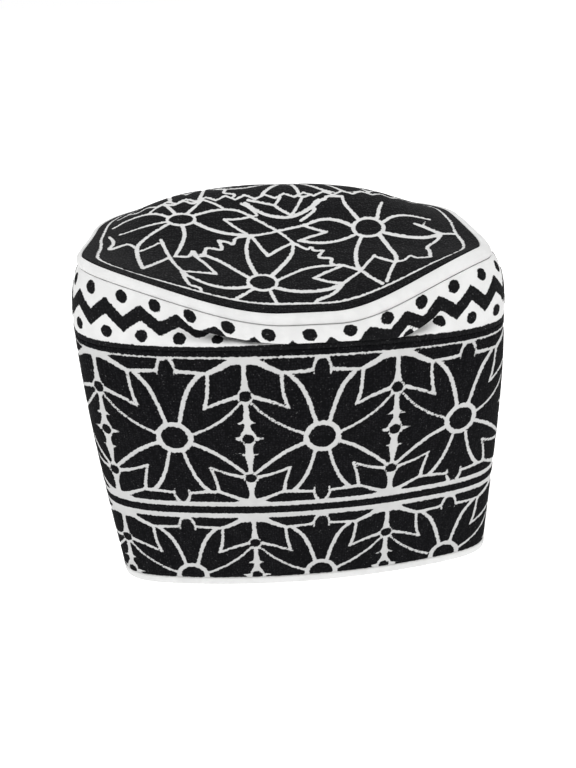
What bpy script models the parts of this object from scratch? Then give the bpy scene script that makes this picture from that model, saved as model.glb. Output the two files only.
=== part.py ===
"""A tall embroidered cap that stands by itself, open below and hollow.

Blender 4.5, metres, +Z up. The floor is z = 0 and the front faces -Y. The cap is one skin of doubled
cotton, followed from the hem up the side, through the upper band and over the crown. Each piece is a
stretch of that skin with its own thickness, so neighbouring pieces share one surface and one seam line.
"""
from collections import namedtuple

import bmesh
import bpy
import numpy as np

# Cloth and seams
CLOTH = 0.0020            # doubled, quilted cotton
HEM_HEIGHT = 0.0038       # rolled edge that the cap stands on
HEM_OUT = 0.0006          # how far the roll stands proud of the wall, outside and inside
WELT_OUT = 0.0007         # how far the rolled seam round the crown stands proud
HEM_SHOULDER = 0.24       # height of the hem's rounded shoulders, as a share of the hem's height
HEM_SWELL = (0.3, 1.0, 1.0, 0.2)     # the roll at the foot, the two shoulders and the top
WELT_SWELL = (0.2, 1.0, 1.0, 0.2)    # the rolled seam at each of its four bends
SEAM_GAP = 0.0003         # clearance between neighbouring pieces

# Mesh density
STATIONS = 84             # columns round the cap
WALL_ROWS = 7             # rows up the side wall
PLAN_SAMPLES = 1440       # samples of a plan curve before it is spaced out evenly
SHARP_ANGLE = 50.0        # degrees, above which an edge is shaded sharp

# Plan of the side wall, a row for each section. The front has tight corners and the back is an oval.
# corner is the front's superellipse exponent: the higher, the tighter the corner. bow is how far the
# middle of the front stands forward of its corners.
Section = namedtuple("Section", "height half_width half_depth centre_x centre_y corner bow")
WALL = (
    Section(0.0000, 0.0936, 0.0658, 0.0018, 0.0092, 13.5, 0.0111),
    Section(0.0481, 0.0952, 0.0636, 0.0004, 0.0067, 9.8, 0.0136),
    Section(0.0896, 0.0946, 0.0642, -0.0007, 0.0044, 8.6, 0.0152),
    Section(0.1299, 0.0922, 0.0662, -0.0022, 0.0026, 7.5, 0.0111),
)
BACK_ROUND = 2.1          # superellipse exponent of the back
SIDE_SLOPE = -0.19        # the wall's height changes by this share of itself per metre towards +X

# Upper band, a row for each bend, as inset and rise from the side wall's top edge. At the front it is
# slumped over a pleat, at the front corners it stands up, and round the back it leans in. The whole row
# also leans a little towards -X.
Bend = namedtuple("Bend", "front_in front_up corner_in corner_up back_in back_up lean")
UPPER_BAND = (
    Bend(0.0000, 0.0003, 0.0000, 0.0003, 0.0000, 0.0003, 0.0000),
    Bend(0.0001, 0.0015, 0.0001, 0.0027, 0.0001, 0.0025, 0.0000),
    Bend(0.0009, 0.0023, 0.0003, 0.0053, 0.0002, 0.0049, 0.0000),
    Bend(0.0038, 0.0022, 0.0006, 0.0079, 0.0003, 0.0073, 0.0000),
    Bend(0.0068, 0.0020, 0.0010, 0.0105, 0.0005, 0.0096, 0.0000),
    Bend(0.0080, 0.0027, 0.0015, 0.0131, 0.0008, 0.0120, 0.0000),
    Bend(0.0066, 0.0036, 0.0021, 0.0157, 0.0012, 0.0143, 0.0000),
    Bend(0.0032, 0.0034, 0.0028, 0.0182, 0.0018, 0.0165, 0.0000),
    Bend(0.0005, 0.0039, 0.0036, 0.0207, 0.0027, 0.0185, 0.0001),
    Bend(0.0005, 0.0052, 0.0046, 0.0230, 0.0038, 0.0202, 0.0003),
    Bend(0.0018, 0.0068, 0.0058, 0.0251, 0.0051, 0.0216, 0.0005),
    Bend(0.0040, 0.0083, 0.0073, 0.0268, 0.0066, 0.0226, 0.0008),
)
# Rolled seam round the crown, in the same columns
WELT = (
    Bend(0.0042, 0.0086, 0.0075, 0.0271, 0.0068, 0.0228, 0.0009),
    Bend(0.0047, 0.0102, 0.0079, 0.0288, 0.0073, 0.0244, 0.0014),
    Bend(0.0057, 0.0114, 0.0089, 0.0301, 0.0084, 0.0256, 0.0020),
    Bend(0.0075, 0.0121, 0.0105, 0.0309, 0.0102, 0.0262, 0.0026),
)

# Where the front slumps, along the seam line from the middle of the front, and how it fades out
SLUMP_LEFT = (-0.0050, -0.0970)    # full from the first, gone at the second
SLUMP_RIGHT = (0.0150, 0.0840)
BACK_LEFT = (0.22, 0.34)           # the back's shape, likewise, as shares of the round from its middle
BACK_RIGHT = (0.10, 0.26)

# Crown: a low bowl towards the front that climbs to a ridge near the back
CROWN_CENTRE = (-0.0060, -0.0040)
CROWN_RINGS = 9
CROWN_MIDDLE_HEIGHT = 0.1502       # above the floor, before the ridge is added
RIDGE_RISE = 0.0195
RIDGE_MIDDLE = (-0.0080, 0.0280)   # the ridge's highest place
RIDGE_BREADTH = 0.0380             # from front to back
RIDGE_SPAN = 0.0860                # from side to side
RIDGE_CURVE = 2.3                  # the ridge line's bend towards the front, per metre across


def through_rows(rows, column, at):
    """A cubic through a column of a table of four rows, read at the heights given."""
    heights = [row.height for row in rows]
    values = [getattr(row, column) for row in rows]
    return np.polyval(np.polyfit(heights, values, len(rows) - 1), at)


def fade(value, full, gone):
    """1 up to full, 0 from gone on, and a smooth step between."""
    step = np.clip((value - full) / (gone - full), 0.0, 1.0)
    return 1.0 - step * step * (3.0 - 2.0 * step)


def plan_curve(height, columns):
    """One closed section of the side wall, at even steps of its own length from x = 0 at the front.

    A superellipse x = a r cos t, y = b r sin t with r = (|cos t|^n + |sin t|^n)^(-1/n), whose front
    half is also bowed forward by bow (1 - (x/a)^2).
    """
    a = through_rows(WALL, "half_width", height)
    b = through_rows(WALL, "half_depth", height)
    corner = through_rows(WALL, "corner", height)
    turn = np.linspace(-0.5 * np.pi, 1.5 * np.pi, PLAN_SAMPLES + 1)
    power = np.where(np.sin(turn) < 0.0, corner, BACK_ROUND)
    reach = (np.abs(np.cos(turn)) ** power + np.abs(np.sin(turn)) ** power) ** (-1.0 / power)
    across, along = reach * np.cos(turn), reach * np.sin(turn)
    bow = np.where(np.sin(turn) < 0.0, through_rows(WALL, "bow", height) * (1.0 - across ** 2), 0.0)
    x = through_rows(WALL, "centre_x", height) + a * across
    y = through_rows(WALL, "centre_y", height) + b * along - bow
    length = np.concatenate(([0.0], np.cumsum(np.hypot(np.diff(x), np.diff(y)))))
    # The curve starts at the front's middle, centre_x to the side of x = 0, and the steps from x = 0
    at = np.mod(columns * length[-1] - x[0], length[-1])
    return np.stack([np.interp(at, length, x), np.interp(at, length, y)], axis=-1), length[-1]


def sloped(height, plan):
    """Heights along a section of the wall, which is a little taller on one side."""
    return height * (1.0 + SIDE_SLOPE * plan[:, 0])


def columns_round():
    """The columns' places as shares of the way round, from the front's middle towards +X."""
    return np.arange(STATIONS) / STATIONS


def inward_of(plan):
    """Horizontal unit vectors square to a closed plan curve, pointing in."""
    along = np.roll(plan, -1, axis=0) - np.roll(plan, 1, axis=0)
    inward = np.stack([-along[:, 1], along[:, 0]], axis=-1)
    return inward / np.linalg.norm(inward, axis=1, keepdims=True)


def wall_rows(heights):
    """Rows of the side wall's outer surface, one for each height."""
    columns = columns_round()
    rows = []
    for height in heights:
        plan, _ = plan_curve(height, columns)
        rows.append(np.column_stack([plan, sloped(height, plan)]))
    return np.array(rows)


def band_rows(bends):
    """Rows of the outer surface above the side wall, one for each bend of a table.

    The rise is front (s) + corner (1 - s - k) + back (k), where s is the slump's weight and k the
    back's. The inset is the same with s squared, because the pleat dies out sooner than the slump. The
    row then moves towards -X by its lean.
    """
    columns = columns_round()
    foot = WALL[-1].height
    plan, around = plan_curve(foot, columns)
    inward = inward_of(plan)
    from_front = (np.mod(columns + 0.5, 1.0) - 0.5) * around
    slump = np.where(from_front < 0.0, fade(-from_front, -SLUMP_LEFT[0], -SLUMP_LEFT[1]),
                     fade(from_front, *SLUMP_RIGHT))
    back = np.where(columns > 0.5, fade(columns - 0.5, *BACK_LEFT), fade(0.5 - columns, *BACK_RIGHT))
    corner = 1.0 - slump - back
    pleat = slump ** 2
    rows = []
    for bend in bends:
        inset = pleat * bend.front_in + (1.0 - pleat - back) * bend.corner_in + back * bend.back_in
        rise = slump * bend.front_up + corner * bend.corner_up + back * bend.back_up
        leaning = plan + inward * inset[:, None] - np.array([bend.lean, 0.0])
        rows.append(np.column_stack([leaning, sloped(foot, plan) + rise]))
    return np.array(rows)


def crown_height(point, edge_height, share):
    """Height of the crown at plan points that lie a share of the way out to its edge.

    z = edge share^3 + middle (1 - share^3) + rise exp(-(along^2 + across^4)) (1 - share^4), where
    along is the distance in y from the curved ridge line over its breadth, and across the distance
    in x from the ridge's middle over its span.
    """
    from_middle = point[:, 0] - RIDGE_MIDDLE[0]
    line = RIDGE_MIDDLE[1] - RIDGE_CURVE * from_middle ** 2
    along = (point[:, 1] - line) / RIDGE_BREADTH
    across = from_middle / RIDGE_SPAN
    ridge = RIDGE_RISE * np.exp(-along ** 2 - across ** 4)
    bowl = edge_height * share ** 3 + CROWN_MIDDLE_HEIGHT * (1.0 - share ** 3)
    return bowl + ridge * (1.0 - share ** 4)


def crown_rows(shares):
    """Rings of the crown's outer surface, from its edge in towards its centre."""
    edge = band_rows(WELT[-1:])[0]
    centre = np.array(CROWN_CENTRE)
    reach = np.linalg.norm(edge[:, :2] - centre, axis=1)
    rows = []
    for share in shares:
        out = share * (1.0 - SEAM_GAP / reach)
        plan = centre + (edge[:, :2] - centre) * out[:, None]
        rows.append(np.column_stack([plan, crown_height(plan, edge[:, 2], out)]))
    return np.array(rows)


def outward_normals(rows):
    """Unit normals of a grid of rows that runs up the cap and round it, pointing out."""
    round_the_cap = np.roll(rows, -1, axis=1) - np.roll(rows, 1, axis=1)
    up_the_cap = np.gradient(rows, axis=0)
    normals = np.cross(round_the_cap, up_the_cap)
    return normals / np.linalg.norm(normals, axis=2, keepdims=True)


def upper_skin():
    """Rows and normals of the band, the welt and the crown, whose neighbours share a seam's normals."""
    shares = np.linspace(1.0, 0.0, CROWN_RINGS + 1)[:-1]
    rows = [band_rows(UPPER_BAND), band_rows(WELT), crown_rows(shares)]
    normals = [outward_normals(grid) for grid in rows]
    for below, above in zip(normals[:-1], normals[1:]):
        seam = below[-1] + above[0]
        seam /= np.linalg.norm(seam, axis=1, keepdims=True)
        below[-1], above[0] = seam, seam
    return rows, normals


def ring_faces(rows, columns, closed):
    """Quads between neighbouring rings of a grid, and from the last ring to the first if closed."""
    faces = []
    for row in range(rows if closed else rows - 1):
        above = (row + 1) % rows
        for column in range(columns):
            beside = (column + 1) % columns
            faces.append((row * columns + column, row * columns + beside,
                          above * columns + beside, above * columns + column))
    return faces


def add_piece(name, points, faces, material):
    """One closed, smooth-shaded object with its faces pointing out."""
    mesh = bpy.data.meshes.new(name)
    mesh.from_pydata([tuple(point) for point in points], [], faces)
    work = bmesh.new()
    work.from_mesh(mesh)
    bmesh.ops.recalc_face_normals(work, faces=work.faces)
    work.to_mesh(mesh)
    work.free()
    mesh.shade_smooth()
    mesh.set_sharp_from_angle(angle=np.radians(SHARP_ANGLE))
    mesh.materials.append(material)
    piece = bpy.data.objects.new(name, mesh)
    bpy.context.scene.collection.objects.link(piece)
    return piece


def add_loop(name, outer, inner, material):
    """A band that goes right round: its outer rows run up, and its inner rows close it again."""
    loop = np.concatenate([outer, inner[::-1]])
    faces = ring_faces(len(loop), loop.shape[1], closed=True)
    return add_piece(name, loop.reshape(-1, 3), faces, material)


def add_dome(name, outer, inner, outer_pole, inner_pole, material):
    """A dome with an outer and an inner skin, each closed at its pole and joined at the rim."""
    loop = np.concatenate([inner[::-1], outer])
    rows, columns = loop.shape[0], loop.shape[1]
    faces = ring_faces(rows, columns, closed=False)
    last = (rows - 1) * columns
    inner_centre = rows * columns
    for column in range(columns):
        beside = (column + 1) % columns
        faces.append((beside, column, inner_centre))
        faces.append((last + column, last + beside, inner_centre + 1))
    points = np.concatenate([loop.reshape(-1, 3), [inner_pole], [outer_pole]])
    return add_piece(name, points, faces, material)


def cotton(name, colour, roughness):
    """A plain cloth material."""
    material = bpy.data.materials.new(name)
    material.use_nodes = True
    shader = material.node_tree.nodes["Principled BSDF"]
    shader.inputs["Base Color"].default_value = (*colour, 1.0)
    shader.inputs["Roughness"].default_value = roughness
    shader.inputs["Metallic"].default_value = 0.0
    return material


def make_hem_binding(material):
    """The rolled edge: rounded outside and inside, and flat underneath where it rests."""
    shoulder = HEM_SHOULDER * HEM_HEIGHT
    heights = np.array([0.0, shoulder, HEM_HEIGHT - shoulder, HEM_HEIGHT])
    swell = np.array(HEM_SWELL) * HEM_OUT
    rows = wall_rows(heights)
    inward = np.array([inward_of(row[:, :2]) for row in rows])
    outer, inner = rows.copy(), rows.copy()
    outer[:, :, :2] -= inward * swell[:, None, None]
    inner[:, :, :2] += inward * (CLOTH + swell)[:, None, None]
    return add_loop("hem_binding", outer, inner, material)


def make_side_band(material):
    """The tall embroidered wall, from the hem to the top line."""
    heights = np.linspace(HEM_HEIGHT + SEAM_GAP, WALL[-1].height, WALL_ROWS)
    outer = wall_rows(heights)
    inward = np.array([inward_of(row[:, :2]) for row in outer])
    inner = outer.copy()
    inner[:, :, :2] += inward * CLOTH
    return add_loop("side_band", outer, inner, material)


def make_upper_band(outer, normals, material):
    """The white band with dots and a zigzag, pleated across the front."""
    inner = outer - normals * CLOTH
    inner[0] = outer[0]
    inner[0, :, :2] += inward_of(outer[0][:, :2]) * CLOTH
    return add_loop("upper_band", outer, inner, material)


def make_crown_welt(rows, normals, material):
    """The rolled seam between the upper band and the crown."""
    swell = np.array(WELT_SWELL) * WELT_OUT
    outer = rows + normals * swell[:, None, None]
    inner = rows - normals * CLOTH
    return add_loop("crown_welt", outer, inner, material)


def make_crown(outer, normals, material):
    """The embroidered top."""
    inner = outer - normals * CLOTH
    pole = outer[-1].mean(axis=0)
    pole[2] = crown_height(np.array([CROWN_CENTRE]), pole[2], 0.0)[0]
    under_pole = pole - np.array([0.0, 0.0, CLOTH])
    return add_dome("crown", outer, inner, pole, under_pole, material)


def main():
    for old in list(bpy.data.objects):
        bpy.data.objects.remove(old)
    embroidered = (0.045, 0.045, 0.050)
    white = (0.80, 0.80, 0.80)
    make_hem_binding(cotton("hem_cotton", white, 0.85))
    make_side_band(cotton("side_embroidery", embroidered, 0.75))
    (band, welt, crown), (band_normals, welt_normals, crown_normals) = upper_skin()
    make_upper_band(band, band_normals, cotton("band_cotton", white, 0.85))
    make_crown_welt(welt, welt_normals, cotton("welt_cotton", white, 0.85))
    make_crown(crown, crown_normals, cotton("crown_embroidery", embroidered, 0.75))


main()
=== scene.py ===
# A tall embroidered cap that stands by itself. Metres, +Z up, the front faces -Y.
# Each piece is one dense grid. The embroidery is a signed distance that every point of the grid holds,
# worked out from a chart of stitched lines, so its edges stay crisp between the points.
import math

import bpy
import numpy as np
from mathutils import Matrix, Vector


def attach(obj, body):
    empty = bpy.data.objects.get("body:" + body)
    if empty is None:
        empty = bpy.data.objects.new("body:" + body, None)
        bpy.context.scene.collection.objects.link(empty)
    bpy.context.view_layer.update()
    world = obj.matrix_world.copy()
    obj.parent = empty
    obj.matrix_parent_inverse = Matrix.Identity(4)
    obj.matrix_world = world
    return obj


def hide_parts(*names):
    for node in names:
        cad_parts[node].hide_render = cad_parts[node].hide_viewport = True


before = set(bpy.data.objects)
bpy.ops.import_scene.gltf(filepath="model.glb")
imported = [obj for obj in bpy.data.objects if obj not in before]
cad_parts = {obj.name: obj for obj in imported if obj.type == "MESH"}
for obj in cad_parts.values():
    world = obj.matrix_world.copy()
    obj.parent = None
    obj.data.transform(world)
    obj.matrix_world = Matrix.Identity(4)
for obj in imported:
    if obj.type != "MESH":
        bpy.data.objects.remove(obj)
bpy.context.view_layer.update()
scene = bpy.context.scene
mm = 0.001
print("frame loaded")

# The cap's shape, with the same sizes as its solids
cap = {
    "columns": 660,           # grid columns round the cap
    "planSamples": 5760,      # samples of a plan curve before it is spaced out evenly
    "cloth": 2.0 * mm,
    "hemHeight": 3.8 * mm,
    "hemOut": 0.6 * mm,
    "weltOut": 0.7 * mm,
    "seamGap": 0.3 * mm,
    "backRound": 2.1,         # superellipse exponent of the back
    "sideSlope": -0.19,       # height changes by this share of itself per metre towards +X
    "seamLength": 560.0,      # mm round the cap, the scale along the pattern
}

# Side wall in plan: height, half width, half depth, centre x, centre y, corner exponent, bow
wall = np.array((
    (0.0000, 0.0936, 0.0658, 0.0018, 0.0092, 13.5, 0.0111),
    (0.0481, 0.0952, 0.0636, 0.0004, 0.0067, 9.8, 0.0136),
    (0.0896, 0.0946, 0.0642, -0.0007, 0.0044, 8.6, 0.0152),
    (0.1299, 0.0922, 0.0662, -0.0022, 0.0026, 7.5, 0.0111),
))
seamHeight = wall[-1, 0]

# Upper band and rolled seam above the wall's top edge: inset and rise at the front, the front corners
# and the back, then the row's lean towards -X, and last how far it stays folded down on the right. The
# 7th to the 11th row are the fold's lip. It hangs lower and further out than the solid's, and on the
# right it lies up to about 4 mm from the solid.
bandBends = np.array((
    (0.0000, 0.0003, 0.0000, 0.0003, 0.0000, 0.0003, 0.0000, 1.0),
    (0.0001, 0.0015, 0.0001, 0.0027, 0.0001, 0.0025, 0.0000, 1.0),
    (0.0009, 0.0023, 0.0003, 0.0053, 0.0002, 0.0049, 0.0000, 1.0),
    (0.0038, 0.0022, 0.0006, 0.0079, 0.0003, 0.0073, 0.0000, 1.0),
    (0.0068, 0.0020, 0.0010, 0.0105, 0.0005, 0.0096, 0.0000, 1.0),
    (0.0080, 0.0027, 0.0015, 0.0131, 0.0008, 0.0120, 0.0000, 1.0),
    (0.0056, 0.0036, 0.0021, 0.0157, 0.0012, 0.0143, 0.0000, 1.0),
    (0.0016, 0.0030, 0.0028, 0.0182, 0.0018, 0.0165, 0.0000, 1.0),
    (-0.0006, 0.0029, 0.0036, 0.0207, 0.0027, 0.0185, 0.0001, 1.0),
    (-0.0004, 0.0046, 0.0046, 0.0230, 0.0038, 0.0202, 0.0003, 0.5),
    (0.0014, 0.0067, 0.0058, 0.0251, 0.0051, 0.0216, 0.0005, 0.2),
    (0.0040, 0.0083, 0.0073, 0.0268, 0.0066, 0.0226, 0.0008, 0.0),
))
weltBends = np.array((
    (0.0042, 0.0086, 0.0075, 0.0271, 0.0068, 0.0228, 0.0009, 0.0),
    (0.0047, 0.0102, 0.0079, 0.0288, 0.0073, 0.0244, 0.0014, 0.0),
    (0.0057, 0.0114, 0.0089, 0.0301, 0.0084, 0.0256, 0.0020, 0.0),
    (0.0075, 0.0121, 0.0105, 0.0309, 0.0102, 0.0262, 0.0026, 0.0),
))
slump = {
    "left": (0.0050, 0.0970),      # full and gone, along the seam from the middle of the front
    "right": (0.0150, 0.0840),
    "foldRight": (0.0360, 0.0760),     # the same for the rows that stay folded down on the right
    "backLeft": (0.22, 0.34),      # the back's shape, as shares of the round from its middle
    "backRight": (0.10, 0.26),
}
crownShape = {
    "centre": (-0.0060, -0.0040),
    "middleHeight": 0.1502,
    "ridgeRise": 0.0195,
    "ridgeMiddle": (-0.0080, 0.0280),
    "ridgeBreadth": 0.0380,
    "ridgeSpan": 0.0860,
    "ridgeCurve": 2.3,
}

# The camera stands where the photo was taken from: 31 degrees above the floor, a little to the left
view = {
    "place": (-0.0244, -0.3197, 0.2498),
    "azimuth": -3.41,
    "elevation": 31.0,
    "roll": 2.15,
    "focalPixels": 700.0,
    "axisPixel": (282.29, 411.67),
    "picture": (576, 768),
    "sensor": 36.0,
}


def makeCamera():
    # Axes from the azimuth a and elevation e: back = (sin a cos e, -cos a cos e, sin e),
    # right = (cos a, sin a, 0), up = back x right, then both turned about back by the roll
    a, e, r = (math.radians(view[key]) for key in ("azimuth", "elevation", "roll"))
    back = np.array((math.sin(a) * math.cos(e), -math.cos(a) * math.cos(e), math.sin(e)))
    right = np.array((math.cos(a), math.sin(a), 0.0))
    up = np.cross(back, right)
    across = math.cos(r) * right - math.sin(r) * up
    upward = math.sin(r) * right + math.cos(r) * up
    data = bpy.data.cameras.new("camera")
    data.sensor_width = view["sensor"]
    width, height = view["picture"]
    data.lens = view["focalPixels"] / height * view["sensor"]
    data.shift_x = (width / 2 - view["axisPixel"][0]) / height
    data.shift_y = (view["axisPixel"][1] - height / 2) / height
    data.clip_start = 0.01
    camera = bpy.data.objects.new("camera", data)
    scene.collection.objects.link(camera)
    turn = np.eye(4)
    turn[:3, 0], turn[:3, 1], turn[:3, 2], turn[:3, 3] = across, upward, back, view["place"]
    camera.matrix_world = Matrix(turn.tolist())
    scene.camera = camera


makeCamera()
print("camera placed")


def wallValue(column, at):
    # Cubic through a column of the wall's four rows
    return np.polyval(np.polyfit(wall[:, 0], wall[:, column], len(wall) - 1), at)


def fade(value, full, gone):
    # 1 up to full, 0 from gone on, with a smooth step 3s^2 - 2s^3 between
    step = np.clip((value - full) / (gone - full), 0.0, 1.0)
    return 1.0 - step * step * (3.0 - 2.0 * step)


def planCurve(height, shares):
    # x = a r cos t, y = b r sin t, r = (|cos t|^n + |sin t|^n)^(-1/n), the front half bowed forward by
    # bow (1 - (x/a)^2). The shares are even steps of the curve's length from x = 0 at the front.
    turn = np.linspace(-0.5 * np.pi, 1.5 * np.pi, cap["planSamples"] + 1)
    front = np.sin(turn) < 0.0
    power = np.where(front, wallValue(5, height), cap["backRound"])
    reach = (np.abs(np.cos(turn)) ** power + np.abs(np.sin(turn)) ** power) ** (-1.0 / power)
    across, along = reach * np.cos(turn), reach * np.sin(turn)
    bow = np.where(front, wallValue(6, height) * (1.0 - across ** 2), 0.0)
    x = wallValue(3, height) + wallValue(1, height) * across
    y = wallValue(4, height) + wallValue(2, height) * along - bow
    length = np.concatenate(([0.0], np.cumsum(np.hypot(np.diff(x), np.diff(y)))))
    at = np.mod(shares * length[-1] - x[0], length[-1])
    return np.stack([np.interp(at, length, x), np.interp(at, length, y)], axis=-1), length[-1]


def inwardOf(plan):
    # Unit vectors square to a closed plan curve, pointing in
    along = np.roll(plan, -1, axis=0) - np.roll(plan, 1, axis=0)
    inward = np.stack([-along[:, 1], along[:, 0]], axis=-1)
    return inward / np.linalg.norm(inward, axis=1, keepdims=True)


def sloped(height, plan):
    # height (1 + slope x)
    return height * (1.0 + cap["sideSlope"] * plan[:, 0])


shares = np.arange(cap["columns"]) / cap["columns"]     # places round the cap, from the front towards +X
seamPlace = np.mod(shares + 0.5, 1.0) - 0.5             # the same, from -0.5 to 0.5


def wallRows(heights):
    # The plan curve at each height, sloped from side to side
    rows = []
    for height in heights:
        plan = planCurve(height, shares)[0]
        rows.append(np.column_stack([plan, sloped(height, plan)]))
    return np.array(rows)


def throughRows(table, places):
    # Catmull-Rom curve through a table's rows, read at fractional row numbers
    last = len(table) - 1
    row = np.clip(np.floor(places).astype(int), 0, last - 1)
    t = (places - row)[:, None]
    a, b, c, d = (table[np.clip(row + k, 0, last)] for k in (-1, 0, 1, 2))
    return b + 0.5 * t * (c - a + t * (2 * a - 5 * b + 4 * c - d + t * (3 * (b - c) + d - a)))


def bandRows(bends):
    # The rise is front (s) + corner (1 - s - k) + back (k), with s the slump's weight and k the back's.
    # The inset is the same with s squared, and the row then moves towards -X by its lean.
    plan, around = planCurve(seamHeight, shares)
    inward = inwardOf(plan)
    fromFront = seamPlace * around
    s = np.where(fromFront < 0.0, fade(-fromFront, *slump["left"]), fade(fromFront, *slump["right"]))
    fromBack = shares - 0.5
    k = np.where(fromBack > 0.0, fade(fromBack, *slump["backLeft"]), fade(-fromBack, *slump["backRight"]))
    # On the right, s of a row gives way to the fold's own weight by the row's last column.
    fold = np.where(fromFront < 0.0, s, fade(fromFront, *slump["foldRight"]))
    rows = []
    for bend in bends:
        front = bend[7] * fold + (1.0 - bend[7]) * s
        inset = bend[0:6:2] @ np.stack([front ** 2, 1.0 - front ** 2 - k, k])
        rise = bend[1:6:2] @ np.stack([front, 1.0 - front - k, k])
        lean = bend[6]
        leaning = plan + inward * inset[:, None] - np.array((lean, 0.0))
        rows.append(np.column_stack([leaning, sloped(seamHeight, plan) + rise]))
    return np.array(rows)


def crownHeight(x, y, edgeHeight, share):
    # edge s^3 + middle (1 - s^3) + rise exp(-(u^2 + v^4)) (1 - s^4), u and v the distances from a curved
    # ridge line and from its middle
    ridge = crownShape
    fromMiddle = x - ridge["ridgeMiddle"][0]
    line = ridge["ridgeMiddle"][1] - ridge["ridgeCurve"] * fromMiddle ** 2
    u, v = (y - line) / ridge["ridgeBreadth"], fromMiddle / ridge["ridgeSpan"]
    bowl = edgeHeight * share ** 3 + ridge["middleHeight"] * (1.0 - share ** 3)
    return bowl + ridge["ridgeRise"] * np.exp(-u ** 2 - v ** 4) * (1.0 - share ** 4)


def crownRows(rings):
    # A ring is the welt's last row, drawn in towards the centre by its share less the seam's gap, and
    # lifted to the crown's height
    edge = bandRows(weltBends[-1:])[0]
    centre = np.array(crownShape["centre"])
    reach = np.linalg.norm(edge[:, :2] - centre, axis=1)
    rows = []
    for ring in rings:
        out = ring * (1.0 - cap["seamGap"] / reach)
        plan = centre + (edge[:, :2] - centre) * out[:, None]
        rows.append(np.column_stack([plan, crownHeight(plan[:, 0], plan[:, 1], edge[:, 2], out)]))
    return np.array(rows)


def outwardNormals(rows):
    # Cross product of the steps round the cap and up it, pointing out
    normals = np.cross(np.roll(rows, -1, axis=1) - np.roll(rows, 1, axis=1), np.gradient(rows, axis=0))
    return normals / np.maximum(np.linalg.norm(normals, axis=2, keepdims=True), 1e-12)


# Charts of the embroidery. A stroke is a line of bare cloth between stitched areas, in millimetres:
# its width at the start and at the end, then the points of a smooth curve.
def smoothCurve(points, steps=5):
    table = np.array(points, float)
    if len(table) < 3:
        return table
    return throughRows(table, np.linspace(0, len(table) - 1, steps * (len(table) - 1) + 1))


def strokeField(x, y, strokes, widen=0.0, smooth=True):
    # Signed distance to a set of strokes, negative on them: for each short segment the distance to it
    # less half the width there, and the least of all
    field = np.full(x.shape, 99.0)
    for stroke in strokes:
        widthStart, widthEnd = stroke[0]
        line = smoothCurve(stroke[1]) if smooth else np.array(stroke[1], float)
        widths = np.linspace(widthStart, widthEnd, len(line))
        for a, b, wa, wb in zip(line[:-1], line[1:], widths[:-1], widths[1:]):
            step = b - a
            t = np.clip(((x - a[0]) * step[0] + (y - a[1]) * step[1]) / (step @ step + 1e-9), 0.0, 1.0)
            away = np.hypot(x - a[0] - t * step[0], y - a[1] - t * step[1])
            field = np.minimum(field, away - 0.5 * (wa + (wb - wa) * t) * (1.0 + widen))
    return field


def drift(x, y, reach, seed):
    # A slow waver of hand work: the sum of four sine waves of random direction and phase
    rng = np.random.default_rng(seed)
    total = np.zeros_like(x)
    for wave in range(4):
        angle, phase = rng.uniform(0, 2 * np.pi, 2)
        along = x * np.cos(angle) + y * np.sin(angle)
        total += np.sin(along * 2 * np.pi / (reach * (1 + 0.6 * wave)) + phase)
    return total / 4


# Side wall motif: across from a pillar and up from the height of the flower's centre
sideChart = {
    "repeats": 9,
    "firstPillar": -24.4,      # along the seam from the middle of the front
    "flowerHeight": 89.5,
    "lowerRowDown": 83.7,      # the lower row of flowers is this much lower
    "ringRadius": 6.9,
    "ringWidth": 2.3,
    "upperDot": (21.0, 2.55),  # height and radius of the dots on the pillar
    "middleDot": (-0.2, 2.5),
    "lowerDot": (-22.0, 2.5),
    "dotRim": 0.8,
    "topLine": 37.6,           # thin bare line under the thick top line
    "topLineWidth": 0.9,
    "lowerLine": (46.1, 50.4),     # stitched line between the rows
    "lowerLineRims": (43.4, 53.0),
    "hemEdge": 4.7,            # the foot of the stitching, which wavers by hemWaver
    "hemWaver": 1.1,
    "hemReach": 150.0,         # mm from one rise of the foot to the next
    "waver": 0.35,             # mm that the stitching strays along the seam and up
    "waverReach": (34.0, 38.0),    # mm from one stray to the next, along and up
    "ringDown": 0.3,           # the ring's middle is this much below the flower's
    "strokeWaver": 0.12,       # share by which the strokes grow and shrink
    "strokeReach": 25.0,       # mm from one broad place to the next
}
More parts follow.
